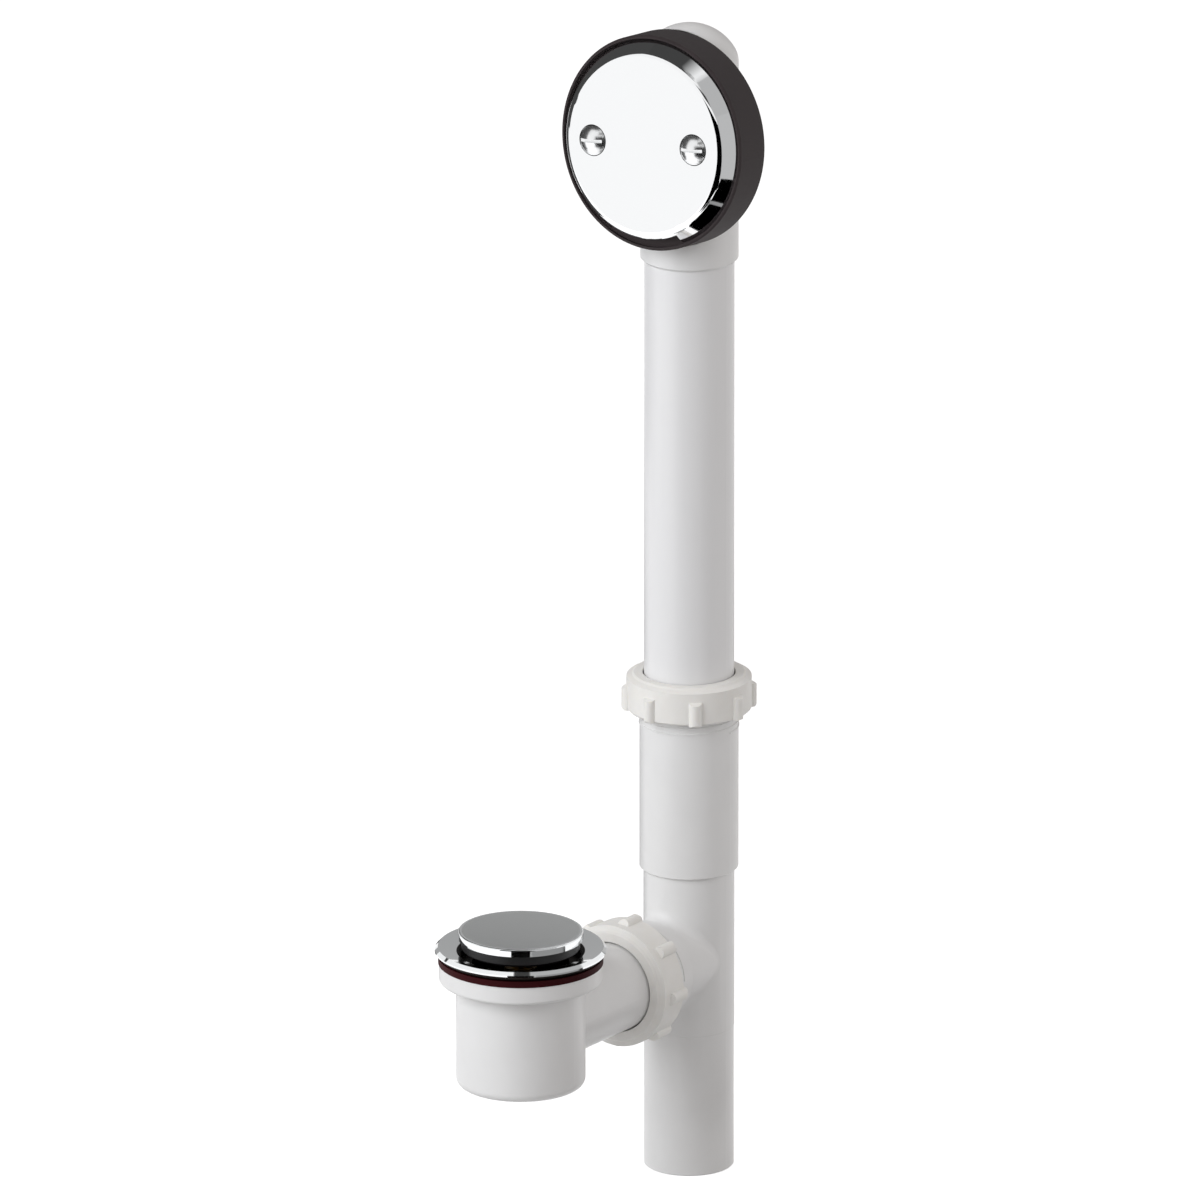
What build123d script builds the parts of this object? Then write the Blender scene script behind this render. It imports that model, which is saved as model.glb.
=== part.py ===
from build123d import *
from math import atan2, cos, degrees, radians, sin
import os

# Bath waste and overflow in 1 1/2 inch tubular drainage pipe, millimetres.
# The overflow tube stands on the Z axis, the outlet's lower end is at Z = 0
# and the bath is on the -Y side.

# Tube stock
tube_diameter = 38.1
tube_wall = 1.8
tube_edge = 0.5

# Fits
slip_gap = 0.35
seat_gap = 0.05
thread_gap = 0.25

# Waste tee
outlet_length = 62.0
outlet_swell = 0.2
branch_height = 94.0
branch_diameter = 37.4
branch_bore = 34.0
branch_shoulder = 27.0
saddle_round = 5.0
socket_rise = 38.6
socket_diameter = 41.9
socket_ledge = 3.0
socket_shoulder = 1.6
thread_diameter = 44.6
thread_length = 6.5

# Slip nuts, both of one pattern
overflow_nut_rise = 70.4
shoe_nut_foot = 41.0
nut_height = 16.0
nut_wall = 3.95
nut_crown_step = 2.3
nut_shoulder = 14.2
nut_wall_cone = 10.0
nut_edge = 0.8
lug_count = 8
lug_rise = 2.2
lug_width = 5.6
lug_height = 12.0
lug_slope = 2.6
lug_turn = -4.3

# Slip washers, tapered to the nut's cone
slip_washer_band = 1.4
slip_washer_tip = 0.9

# Overflow tube
tube_insertion = 46.5
hub_depth = 8.5

# Overflow elbow
hub_rise = 199.0
head_rise = 55.2
overflow_tilt = 6.0
barrel_diameter = 41.6
barrel_wall = 2.4
dome_shoulder = 31.6
dome_rise = 16.4
hub_round = 1.2
flange_front = 10.0
flange_thickness = 4.2
flange_setback = 4.4
throat_width = 30.0
throat_height = 46.0

# Screw fixing of the overflow plate
screw_spacing = 51.2
screw_turn = 5.4
screw_shank_diameter = 5.6
screw_head_diameter = 12.8
screw_head_depth = 3.0
screw_head_rise = 2.6
screw_slot_width = 1.4
screw_slot_depth = 1.7
screw_length = 38.0
screw_hole_spare = 1.0
insert_diameter = 8.0
insert_length = 12.0
boss_diameter = 12.0
boss_length = 14.0

# Overflow gasket
gasket_rim_width = 1.4
gasket_screw_clearance = 2.1
gasket_thickness = 18.6
gasket_edge = 0.8
plate_recess = 1.5

# Overflow plate
plate_depth = 7.4
plate_face_diameter = 78.0
plate_flare = 5.1
plate_wall = 1.3
plate_edge_round = 3.7
dimple_diameter = 16.4
dimple_depth = 3.6
inlet_width = 37.0
inlet_height = 5.4

# Drain shoe
drain_reach = 123.7
shoe_drop = 24.5
shoe_diameter = 54.6
shoe_floor = 3.4
shoe_foot_round = 3.6
shoe_thread_diameter = 47.8
shoe_flange_rise = 21.6
shoe_flange_thickness = 8.0
shoe_flange_setback = 0.3
shoe_flange_round = 1.5
shoe_tube_end = 33.0

# Drain washer and chromed drain flange
drain_washer_thickness = 2.7
drain_washer_setback = 1.4
drain_dish_width = 9.4
drain_rim_height = 4.4
drain_rim_chamfer = 1.3
drain_rim_undercut = 2.4
drain_dish_height = 2.3
cup_diameter = 50.8
cup_lead = 1.4
cup_wall = 1.5
cup_depth = 3.0
tail_length = 14.3
tail_bore = 41.2
spider_height = 4.0
spider_arm_width = 4.6
spider_arms = 4
spider_hub_diameter = 15.0

# Stopper and its foot-press cartridge
stopper_lift = 5.0
stopper_landing_gap = 0.8
stopper_overlap = 1.0
stopper_rim_height = 3.2
stopper_crown = 0.7
stopper_edge_round = 0.7
stopper_web = 2.2
seal_clearance = 0.4
seal_width = 6.0
seal_height = 5.0
seal_edge = 1.0
spigot_wall = 2.0
stopper_boss_diameter = 13.0
stopper_boss_depth = 2.8
stud_diameter = 9.5
stud_below_hub = 4.0
cartridge_height = 10.5
cartridge_diameter = 14.0
cartridge_bore = 8.0
cartridge_bore_floor = 0.5
collar_corners = 19.0
collar_height = 3.6
plunger_end_gap = 0.5
spring_diameter = 10.4
spring_wire = 0.9
spring_turns = 3

# Radii and stations worked out from the sizes above
tube_radius = tube_diameter / 2
tube_bore_radius = tube_radius - tube_wall
slip_radius = tube_radius + slip_gap
socket_radius = socket_diameter / 2
thread_radius = thread_diameter / 2
body_radius = tube_radius + outlet_swell
socket_foot = branch_height + socket_rise
overflow_nut_foot = socket_foot + overflow_nut_rise
nut_seat = nut_wall_cone - slip_washer_band - seat_gap
overflow_socket_end = overflow_nut_foot + nut_seat
shoe_socket_end = shoe_nut_foot + nut_seat
socket_floor = socket_foot + socket_ledge
branch_floor = branch_shoulder + socket_ledge
tube_foot = overflow_socket_end - tube_insertion
hub_foot = overflow_nut_foot + hub_rise
tube_top = hub_foot + hub_depth

overflow_height = hub_foot + head_rise
dome_foot = overflow_height + dome_shoulder
face_radius = plate_face_diameter / 2
rim_radius = face_radius + plate_flare
recess_radius = rim_radius + slip_gap
gasket_radius = recess_radius + gasket_rim_width
gasket_hole_radius = (screw_spacing + screw_shank_diameter) / 2 + gasket_screw_clearance
flange_radius = gasket_radius - flange_setback
flange_back = flange_front - flange_thickness
gasket_front = flange_front + gasket_thickness
plate_seat = gasket_front - plate_recess
plate_face = plate_seat + plate_depth
screw_tip = plate_face + screw_head_rise - screw_length

cup_radius = cup_diameter / 2
cup_recess_radius = cup_radius + cup_wall + slip_gap
cup_mouth_radius = cup_radius + cup_lead
drain_rim_radius = cup_mouth_radius + drain_dish_width
drain_washer_radius = drain_rim_radius - drain_washer_setback
shoe_flange_radius = drain_washer_radius - shoe_flange_setback
stopper_radius = cup_radius + stopper_overlap
seal_radius = cup_radius - seal_clearance
spigot_radius = seal_radius - seal_width

shoe_foot = branch_height - shoe_drop
shoe_flange_foot = branch_height + shoe_flange_rise
shoe_top = shoe_flange_foot + shoe_flange_thickness
drain_seat = shoe_top + drain_washer_thickness
drain_rim_top = drain_seat + drain_rim_height
dish_floor = drain_seat + drain_dish_height
cup_floor = drain_seat - cup_depth
cup_foot = cup_floor - cup_wall
tail_foot = cup_foot - tail_length
tail_radius = shoe_thread_diameter / 2 - thread_gap
hub_top = tail_foot + spider_height
cartridge_top = hub_top + cartridge_height
plunger_depth = cartridge_height - cartridge_bore_floor - stopper_lift - plunger_end_gap
stopper_foot = dish_floor + stopper_landing_gap + stopper_lift
stopper_top = stopper_foot + stopper_rim_height
boss_foot = stopper_foot - stopper_boss_depth
spring_height = boss_foot - cartridge_top

# Axes of the four runs
across = Vector(1, 0, 0)
up = Vector(0, 0, 1)
towards_bath = Vector(0, -1, 0)
plate_normal = Vector(0, -cos(radians(overflow_tilt)), sin(radians(overflow_tilt)))
branch_origin = Vector(0, 0, branch_height)
drain_origin = Vector(0, -drain_reach, 0)
overflow_origin = Vector(0, 0, overflow_height)


def section(origin, along, side=across):
    """Plane for a turned profile: local x is the radius, local y runs along the axis."""
    return Plane(origin=origin, x_dir=side, z_dir=side.cross(along))


def square_to(origin, along):
    """Plane square to an axis, at its origin."""
    return Plane(origin=origin, x_dir=across, z_dir=along)


plate_plane = square_to(overflow_origin, plate_normal)
plate_section = section(overflow_origin, plate_normal)
plate_axis = Axis(overflow_origin, plate_normal)
drain_section = section(drain_origin, up)
drain_axis = Axis(drain_origin, up)
drain_plane = square_to(drain_origin, up)

os.makedirs("parts", exist_ok=True)

# Waste tee: outlet, branch and the long socket that takes the overflow tube
with BuildPart() as waste_tee:
    with BuildSketch(section((0, 0, 0), up)):
        with BuildLine():
            Polyline(
                (0, 0),
                (tube_radius - tube_edge, 0),
                (tube_radius, tube_edge),
                (tube_radius, outlet_length),
                (body_radius, outlet_length + outlet_swell),
                (body_radius, socket_foot),
                (socket_radius - tube_edge, socket_foot),
                (socket_radius, socket_foot + tube_edge),
                (socket_radius, overflow_socket_end - thread_length),
                (thread_radius, overflow_socket_end - thread_length),
                (thread_radius, overflow_socket_end),
                (0, overflow_socket_end),
                close=True,
            )
        make_face()
    revolve(axis=Axis.Z)
    with BuildSketch(section(branch_origin, towards_bath)):
        with BuildLine():
            Polyline(
                (0, 0),
                (branch_diameter / 2, 0),
                (branch_diameter / 2, branch_shoulder - socket_shoulder),
                (socket_radius, branch_shoulder),
                (socket_radius, shoe_socket_end - thread_length),
                (thread_radius, shoe_socket_end - thread_length),
                (thread_radius, shoe_socket_end),
                (0, shoe_socket_end),
                close=True,
            )
        make_face()
    revolve(axis=Axis(branch_origin, towards_bath))
    plain = (GeomType.CIRCLE, GeomType.LINE)
    saddle = waste_tee.edges().filter_by(lambda e: e.geom_type not in plain)
    fillet(saddle, saddle_round)
    with BuildSketch(section((0, 0, 0), up)):
        with BuildLine():
            Polyline(
                (0, 0),
                (tube_bore_radius, 0),
                (tube_bore_radius, socket_floor),
                (slip_radius, socket_floor),
                (slip_radius, overflow_socket_end),
                (0, overflow_socket_end),
                close=True,
            )
        make_face()
    revolve(axis=Axis.Z, mode=Mode.SUBTRACT)
    with BuildSketch(section(branch_origin, towards_bath)):
        with BuildLine():
            Polyline(
                (0, 0),
                (branch_bore / 2, 0),
                (branch_bore / 2, branch_floor),
                (slip_radius, branch_floor),
                (slip_radius, shoe_socket_end),
                (0, shoe_socket_end),
                close=True,
            )
        make_face()
    revolve(axis=Axis(branch_origin, towards_bath), mode=Mode.SUBTRACT)
waste_tee.part.label = "waste_tee"
export_step(waste_tee.part, "parts/waste_tee.step")


def make_slip_nut(origin, along):
    """Lugged slip nut with its open, threaded end at the origin and its crown along the axis."""
    bore = thread_radius + thread_gap
    hole = slip_radius + slip_gap
    body = bore + nut_wall
    crown = body - nut_crown_step
    lug_tip = body + lug_rise
    lug_root = lug_tip - lug_width
    between_lugs = across.rotate(Axis((0, 0, 0), along), lug_turn + 180 / lug_count)
    profile = section(origin, along, between_lugs)
    with BuildPart() as nut:
        with BuildSketch(square_to(origin, along)):
            with PolarLocations(lug_tip - lug_width / 2, lug_count, start_angle=lug_turn):
                Circle(lug_width / 2)
        extrude(amount=nut_height)
        with BuildSketch(profile):
            with BuildLine():
                Polyline(
                    (0, 0),
                    (lug_tip - nut_edge, 0),
                    (lug_tip, nut_edge),
                    (lug_tip, lug_height - lug_slope),
                    (lug_root, lug_height),
                    (0, lug_height),
                    close=True,
                )
            make_face()
        revolve(axis=Axis(origin, along), mode=Mode.INTERSECT)
        with BuildSketch(profile):
            with BuildLine():
                Polyline(
                    (bore, 0),
                    (body - nut_edge, 0),
                    (body, nut_edge),
                    (body, nut_shoulder),
                    (crown, nut_height - nut_edge),
                    (crown - nut_edge, nut_height),
                    (hole, nut_height),
                    (hole, nut_wall_cone + bore - hole),
                    (bore, nut_wall_cone),
                    close=True,
                )
            make_face()
        revolve(axis=Axis(origin, along))
    return nut


def make_slip_washer(origin, along):
    """Tapered sealing ring that the slip nut presses on the socket's end, at the origin."""
    outer = thread_radius - seat_gap
    tip = slip_radius + slip_washer_tip
    top = slip_washer_band + outer - tip
    with BuildPart() as washer:
        with BuildSketch(section(origin, along)):
            with BuildLine():
                Polyline(
                    (slip_radius, 0),
                    (outer, 0),
                    (outer, slip_washer_band),
                    (tip, top),
                    (slip_radius, top),
                    close=True,
                )
            make_face()
        revolve(axis=Axis(origin, along))
    return washer


overflow_slip_nut = make_slip_nut(up * overflow_nut_foot, up)
overflow_slip_nut.part.label = "overflow_slip_nut"
export_step(overflow_slip_nut.part, "parts/overflow_slip_nut.step")

overflow_slip_washer = make_slip_washer(up * overflow_socket_end, up)
overflow_slip_washer.part.label = "overflow_slip_washer"
export_step(overflow_slip_washer.part, "parts/overflow_slip_washer.step")

shoe_slip_nut = make_slip_nut(branch_origin + towards_bath * shoe_nut_foot, towards_bath)
shoe_slip_nut.part.label = "shoe_slip_nut"
export_step(shoe_slip_nut.part, "parts/shoe_slip_nut.step")

shoe_slip_washer = make_slip_washer(branch_origin + towards_bath * shoe_socket_end, towards_bath)
shoe_slip_washer.part.label = "shoe_slip_washer"
export_step(shoe_slip_washer.part, "parts/shoe_slip_washer.step")


# Overflow tube, sliding in the tee's socket and cemented in the elbow's hub
with BuildPart() as overflow_tube:
    with BuildSketch(Plane.XY.offset(tube_foot)):
        Circle(tube_radius)
        Circle(tube_bore_radius, mode=Mode.SUBTRACT)
    extrude(amount=tube_top - tube_foot)
    rims = overflow_tube.edges().filter_by(GeomType.CIRCLE).group_by(SortBy.RADIUS)[-1]
    chamfer(rims, tube_edge)
overflow_tube.part.label = "overflow_tube"
export_step(overflow_tube.part, "parts/overflow_tube.step")


def dished_end(radius, rise):
    """Outline of the dome from the barrel's wall to its axis: a knuckle arc, then a crown arc."""
    knuckle = radius / 2
    reach = radius - knuckle
    spare = rise - knuckle
    drop = (reach**2 - spare**2) / (2 * spare)
    turn = degrees(atan2(drop, reach))
    CenterArc((reach, dome_foot), knuckle, 0, turn)
    CenterArc((0, dome_foot - drop), rise + drop, turn, 90 - turn)


# Waterway inside the elbow: the barrel's bore under its dome, up to the back of the flange
with BuildPart() as waterway:
    with BuildSketch(section((0, 0, 0), up)):
        with BuildLine():
            inner = barrel_diameter / 2 - barrel_wall
            Polyline(
                (0, tube_top),
                (tube_bore_radius, tube_top),
                (inner, tube_top + barrel_wall),
                (inner, dome_foot),
            )
            dished_end(inner, dome_rise - barrel_wall)
            Line((0, dome_foot + dome_rise - barrel_wall), (0, tube_top))
        make_face()
    revolve(axis=Axis.Z)
    split(bisect_by=plate_plane.offset(flange_back), keep=Keep.BOTTOM)

# Overflow elbow: hub, barrel and dome in one moulding with the tilted flange and its screw bosses
with BuildPart() as overflow_elbow:
    with BuildSketch(section((0, 0, 0), up)):
        with BuildLine():
            outer = barrel_diameter / 2
            Polyline(
                (0, hub_foot),
                (outer - hub_round, hub_foot),
                (outer, hub_foot + hub_round),
                (outer, dome_foot),
            )
            dished_end(outer, dome_rise)
            Line((0, dome_foot + dome_rise), (0, hub_foot))
        make_face()
    revolve(axis=Axis.Z)
    with BuildSketch(plate_plane.offset(flange_front)):
        Circle(gasket_radius + slip_gap)
    extrude(amount=barrel_diameter, mode=Mode.SUBTRACT)
    with BuildSketch(plate_plane.offset(flange_back)):
        Circle(flange_radius)
    extrude(amount=flange_thickness)
    with BuildSketch(plate_plane.offset(flange_back - boss_length)):
        with PolarLocations(screw_spacing / 2, 2, start_angle=screw_turn):
            Circle(boss_diameter / 2)
    extrude(amount=boss_length)
    add(waterway.part, mode=Mode.SUBTRACT)
    with BuildSketch(plate_plane.offset(flange_front)):
        SlotOverall(throat_height, throat_width, rotation=90)
    extrude(amount=-flange_thickness - barrel_wall, mode=Mode.SUBTRACT)
    with BuildSketch(Plane.XY.offset(hub_foot)):
        Circle(tube_radius + seat_gap)
    extrude(amount=hub_depth, mode=Mode.SUBTRACT)
    with BuildSketch(plate_plane.offset(flange_front)):
        with PolarLocations(screw_spacing / 2, 2, start_angle=screw_turn):
            Circle(insert_diameter / 2 + seat_gap)
    extrude(amount=-insert_length, mode=Mode.SUBTRACT)
    with BuildSketch(plate_plane.offset(flange_front)):
        with PolarLocations(screw_spacing / 2, 2, start_angle=screw_turn):
            Circle(screw_shank_diameter / 2 + slip_gap)
    extrude(amount=screw_tip - screw_hole_spare - flange_front, mode=Mode.SUBTRACT)
overflow_elbow.part.label = "overflow_elbow"
export_step(overflow_elbow.part, "parts/overflow_elbow.step")


# Brass inserts moulded into the screw bosses
with BuildPart() as screw_inserts:
    with BuildSketch(plate_plane.offset(flange_front)):
        with PolarLocations(screw_spacing / 2, 2, start_angle=screw_turn):
            Circle(insert_diameter / 2)
            Circle(screw_shank_diameter / 2 + seat_gap, mode=Mode.SUBTRACT)
    extrude(amount=-insert_length)
screw_inserts.part.label = "screw_inserts"
export_step(screw_inserts.part, "parts/screw_inserts.step")


# Thick rubber gasket that seals on the back of the bath wall, recessed for the plate's rim
with BuildPart() as overflow_gasket:
    with BuildSketch(plate_section):
        with BuildLine():
            Polyline(
                (gasket_hole_radius, flange_front),
                (gasket_radius - gasket_edge, flange_front),
                (gasket_radius, flange_front + gasket_edge),
                (gasket_radius, gasket_front - gasket_edge),
                (gasket_radius - gasket_edge, gasket_front),
                (recess_radius, gasket_front),
                (recess_radius, plate_seat),
                (gasket_hole_radius, plate_seat),
                close=True,
            )
        make_face()
    revolve(axis=plate_axis)
overflow_gasket.part.label = "overflow_gasket"
export_step(overflow_gasket.part, "parts/overflow_gasket.step")


# Dished overflow plate: flat face, rolled edge, flared skirt, screw dimples and the inlet below
with BuildPart() as overflow_plate:
    with BuildSketch(plate_section):
        with BuildLine():
            Polyline(
                (0, plate_face),
                (face_radius, plate_face),
                (rim_radius, plate_seat),
                (rim_radius - plate_wall, plate_seat),
                (face_radius - plate_wall, plate_face - plate_wall),
                (0, plate_face - plate_wall),
                close=True,
            )
        make_face()
    revolve(axis=plate_axis)
    with BuildSketch(plate_plane.offset(plate_face - dimple_depth)):
        with PolarLocations(screw_spacing / 2, 2, start_angle=screw_turn):
            Circle(dimple_diameter / 2)
    extrude(amount=dimple_depth)
    edge = overflow_plate.edges().filter_by(GeomType.CIRCLE).sort_by(plate_axis)[-1]
    fillet(edge, plate_edge_round)
    with Locations(plate_plane.offset(plate_face).location):
        with PolarLocations(screw_spacing / 2, 2, start_angle=screw_turn):
            CounterSinkHole(
                screw_shank_diameter / 2 + slip_gap,
                screw_head_diameter / 2 + slip_gap,
                depth=plate_depth,
            )
    with BuildSketch(plate_plane.offset(plate_seat)):
        with Locations((0, -rim_radius)):
            Rectangle(inlet_width, 2 * plate_flare + plate_depth)
    extrude(amount=inlet_height, mode=Mode.SUBTRACT)
overflow_plate.part.label = "overflow_plate"
export_step(overflow_plate.part, "parts/overflow_plate.step")


# Slotted oval-head screw, made on the plate's axis and then set at both fixings
with BuildPart() as plate_screw:
    with BuildSketch(plate_section):
        with BuildLine():
            head = screw_head_diameter / 2
            shank = screw_shank_diameter / 2
            Polyline(
                (0, screw_tip),
                (shank, screw_tip),
                (shank, plate_face - screw_head_depth),
                (head, plate_face),
            )
            TangentArc((0, plate_face + screw_head_rise), (head, plate_face), tangent=(1, 0))
            Line((0, plate_face + screw_head_rise), (0, screw_tip))
        make_face()
    revolve(axis=plate_axis)
    with BuildSketch(plate_plane.offset(plate_face + screw_head_rise)):
        Rectangle(screw_head_diameter, screw_slot_width)
    extrude(amount=-screw_slot_depth, mode=Mode.SUBTRACT)
screw_places = PolarLocations(screw_spacing / 2, 2, start_angle=screw_turn).locations
to_plate = plate_plane.location
screw_pair = [to_plate * place * to_plate.inverse() * plate_screw.part for place in screw_places]
with BuildPart() as plate_screws:
    add(screw_pair)
plate_screws.part.label = "plate_screws"
export_step(plate_screws.part, "parts/plate_screws.step")


# Drain shoe: cup with a floor, wide bearing flange and the tube that runs back to the tee
with BuildPart() as drain_shoe:
    with BuildSketch(drain_section):
        with BuildLine():
            Polyline(
                (0, shoe_foot),
                (shoe_diameter / 2, shoe_foot),
                (shoe_diameter / 2, shoe_flange_foot),
                (shoe_flange_radius, shoe_flange_foot),
                (shoe_flange_radius, shoe_top),
                (0, shoe_top),
                close=True,
            )
        make_face()
    revolve(axis=drain_axis)
    circles = drain_shoe.edges().filter_by(GeomType.CIRCLE)
    fillet(circles.sort_by(Axis.Z)[0], shoe_foot_round)
    flange_edge = circles.filter_by(lambda e: abs(e.arc_center.Z - shoe_flange_foot) < tube_edge)
    fillet(flange_edge, shoe_flange_round)
    with BuildSketch(square_to(branch_origin, towards_bath).offset(shoe_tube_end)):
        Circle(tube_radius)
    extrude(amount=drain_reach - shoe_tube_end)
    with BuildSketch(drain_section):
        with BuildLine():
            Polyline(
                (0, shoe_foot + shoe_floor),
                (shoe_thread_diameter / 2, shoe_foot + shoe_floor),
                (shoe_thread_diameter / 2, cup_foot - slip_gap),
                (cup_recess_radius, cup_foot - slip_gap),
                (cup_recess_radius, shoe_top),
                (0, shoe_top),
                close=True,
            )
        make_face()
    revolve(axis=drain_axis, mode=Mode.SUBTRACT)
    with BuildSketch(square_to(branch_origin, towards_bath).offset(shoe_tube_end)):
        Circle(tube_bore_radius)
    extrude(amount=drain_reach - shoe_tube_end, mode=Mode.SUBTRACT)
drain_shoe.part.label = "drain_shoe"
export_step(drain_shoe.part, "parts/drain_shoe.step")


# Rubber washer between the shoe and the bath
with BuildPart() as drain_washer:
    with BuildSketch(drain_plane.offset(shoe_top)):
        Circle(drain_washer_radius)
        Circle(cup_recess_radius, mode=Mode.SUBTRACT)
    extrude(amount=drain_washer_thickness)
drain_washer.part.label = "drain_washer"
export_step(drain_washer.part, "parts/drain_washer.step")


# Drain flange: bevelled rim, shallow dish, cup for the stopper, threaded tail and its spider
with BuildPart() as drain_flange:
    with BuildSketch(drain_section):
        with BuildLine():
            Polyline(
                (tail_bore / 2, tail_foot),
                (tail_radius, tail_foot),
                (tail_radius, cup_foot),
                (cup_radius + cup_wall, cup_foot),
                (cup_radius + cup_wall, drain_seat),
                (drain_rim_radius - drain_rim_undercut, drain_seat),
                (drain_rim_radius, drain_seat + drain_rim_undercut),
                (drain_rim_radius, drain_rim_top - drain_rim_chamfer),
                (drain_rim_radius - drain_rim_chamfer, drain_rim_top),
                (cup_mouth_radius, dish_floor),
                (cup_radius, dish_floor - cup_lead),
                (cup_radius, cup_floor),
                (tail_bore / 2, cup_floor),
                close=True,
            )
        make_face()
    revolve(axis=drain_axis)
    with BuildSketch(drain_plane.offset(tail_foot)):
        Circle(spider_hub_diameter / 2)
        with PolarLocations(tail_bore / 4, spider_arms):
            Rectangle(tail_bore / 2 + cup_wall, spider_arm_width)
        Circle(stud_diameter / 2 + seat_gap, mode=Mode.SUBTRACT)
    extrude(amount=spider_height)
drain_flange.part.label = "drain_flange"
export_step(drain_flange.part, "parts/drain_flange.step")


# Cartridge barrel, screwed through the spider's hub by its stud
with BuildPart() as cartridge_barrel:
    with BuildSketch(drain_section):
        with BuildLine():
            Polyline(
                (0, tail_foot - stud_below_hub),
                (stud_diameter / 2 - tube_edge, tail_foot - stud_below_hub),
                (stud_diameter / 2, tail_foot - stud_below_hub + tube_edge),
                (stud_diameter / 2, hub_top),
                (cartridge_diameter / 2, hub_top),
                (cartridge_diameter / 2, cartridge_top),
                (cartridge_bore / 2, cartridge_top),
                (cartridge_bore / 2, hub_top + cartridge_bore_floor),
                (0, hub_top + cartridge_bore_floor),
                close=True,
            )
        make_face()
    revolve(axis=drain_axis)
cartridge_barrel.part.label = "cartridge_barrel"
export_step(cartridge_barrel.part, "parts/cartridge_barrel.step")


# Hexagonal collar on the barrel, turned with a spanner
with BuildPart() as cartridge_collar:
    with BuildSketch(drain_plane.offset(hub_top)):
        RegularPolygon(collar_corners / 2, 6)
        Circle(cartridge_diameter / 2 + seat_gap, mode=Mode.SUBTRACT)
    extrude(amount=collar_height)
cartridge_collar.part.label = "cartridge_collar"
export_step(cartridge_collar.part, "parts/cartridge_collar.step")


# Stopper cap: crowned disc with a rim, a spigot that carries the seal and a boss for the plunger
with BuildPart() as stopper_cap:
    with BuildSketch(drain_section):
        with BuildLine():
            crown_edge = stopper_radius - stopper_edge_round
            Polyline(
                (0, stopper_top - stopper_web),
                (0, stopper_top + stopper_crown),
            )
            TangentArc((0, stopper_top + stopper_crown), (crown_edge, stopper_top), tangent=(1, 0))
            CenterArc((crown_edge, stopper_top - stopper_edge_round), stopper_edge_round, 0, 90)
            Polyline(
                (stopper_radius, stopper_top - stopper_edge_round),
                (stopper_radius, stopper_foot),
                (spigot_radius, stopper_foot),
                (spigot_radius, stopper_foot - seal_height),
                (spigot_radius - spigot_wall, stopper_foot - seal_height),
                (spigot_radius - spigot_wall, stopper_top - stopper_web),
                (0, stopper_top - stopper_web),
            )
        make_face()
    revolve(axis=drain_axis)
    with BuildSketch(drain_plane.offset(boss_foot)):
        Circle(stopper_boss_diameter / 2)
    extrude(amount=stopper_top - stopper_web - boss_foot)
    with BuildSketch(drain_plane.offset(boss_foot)):
        Circle(cartridge_bore / 2 - slip_gap + seat_gap)
    extrude(amount=stopper_boss_depth, mode=Mode.SUBTRACT)
stopper_cap.part.label = "stopper_cap"
export_step(stopper_cap.part, "parts/stopper_cap.step")


# Rubber seal stretched over the cap's spigot
with BuildPart() as stopper_seal:
    with BuildSketch(drain_plane.offset(stopper_foot - seal_height)):
        Circle(seal_radius)
        Circle(spigot_radius, mode=Mode.SUBTRACT)
    extrude(amount=seal_height)
    chamfer(stopper_seal.edges().group_by(Axis.Z)[0].sort_by(SortBy.RADIUS)[-1], seal_edge)
stopper_seal.part.label = "stopper_seal"
export_step(stopper_seal.part, "parts/stopper_seal.step")


# Plunger in the cap's boss, sliding in the cartridge
with BuildPart() as stopper_plunger:
    with BuildSketch(drain_plane.offset(cartridge_top - plunger_depth)):
        Circle(cartridge_bore / 2 - slip_gap)
    extrude(amount=boss_foot + stopper_boss_depth - cartridge_top + plunger_depth)
    chamfer(stopper_plunger.edges().sort_by(Axis.Z)[0], tube_edge)
stopper_plunger.part.label = "stopper_plunger"
export_step(stopper_plunger.part, "parts/stopper_plunger.step")


# Coil spring round the plunger, between the cartridge and the cap's boss
with BuildPart() as stopper_spring:
    coil_radius = (spring_diameter - spring_wire) / 2
    coil_rise = spring_height - spring_wire - 2 * slip_gap
    coil_foot = cartridge_top + slip_gap + spring_wire / 2
    with BuildLine():
        coil = Helix(coil_rise / spring_turns, coil_rise, coil_radius, center=(0, -drain_reach, coil_foot))
    with BuildSketch(Plane(origin=coil @ 0, z_dir=coil % 0)):
        Circle(spring_wire / 2)
    sweep(path=coil, is_frenet=True)
stopper_spring.part.label = "stopper_spring"
export_step(stopper_spring.part, "parts/stopper_spring.step")
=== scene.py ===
"""Looks of a bath waste and overflow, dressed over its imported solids."""

import logging
import math
from dataclasses import dataclass, field
from enum import Enum

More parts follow.
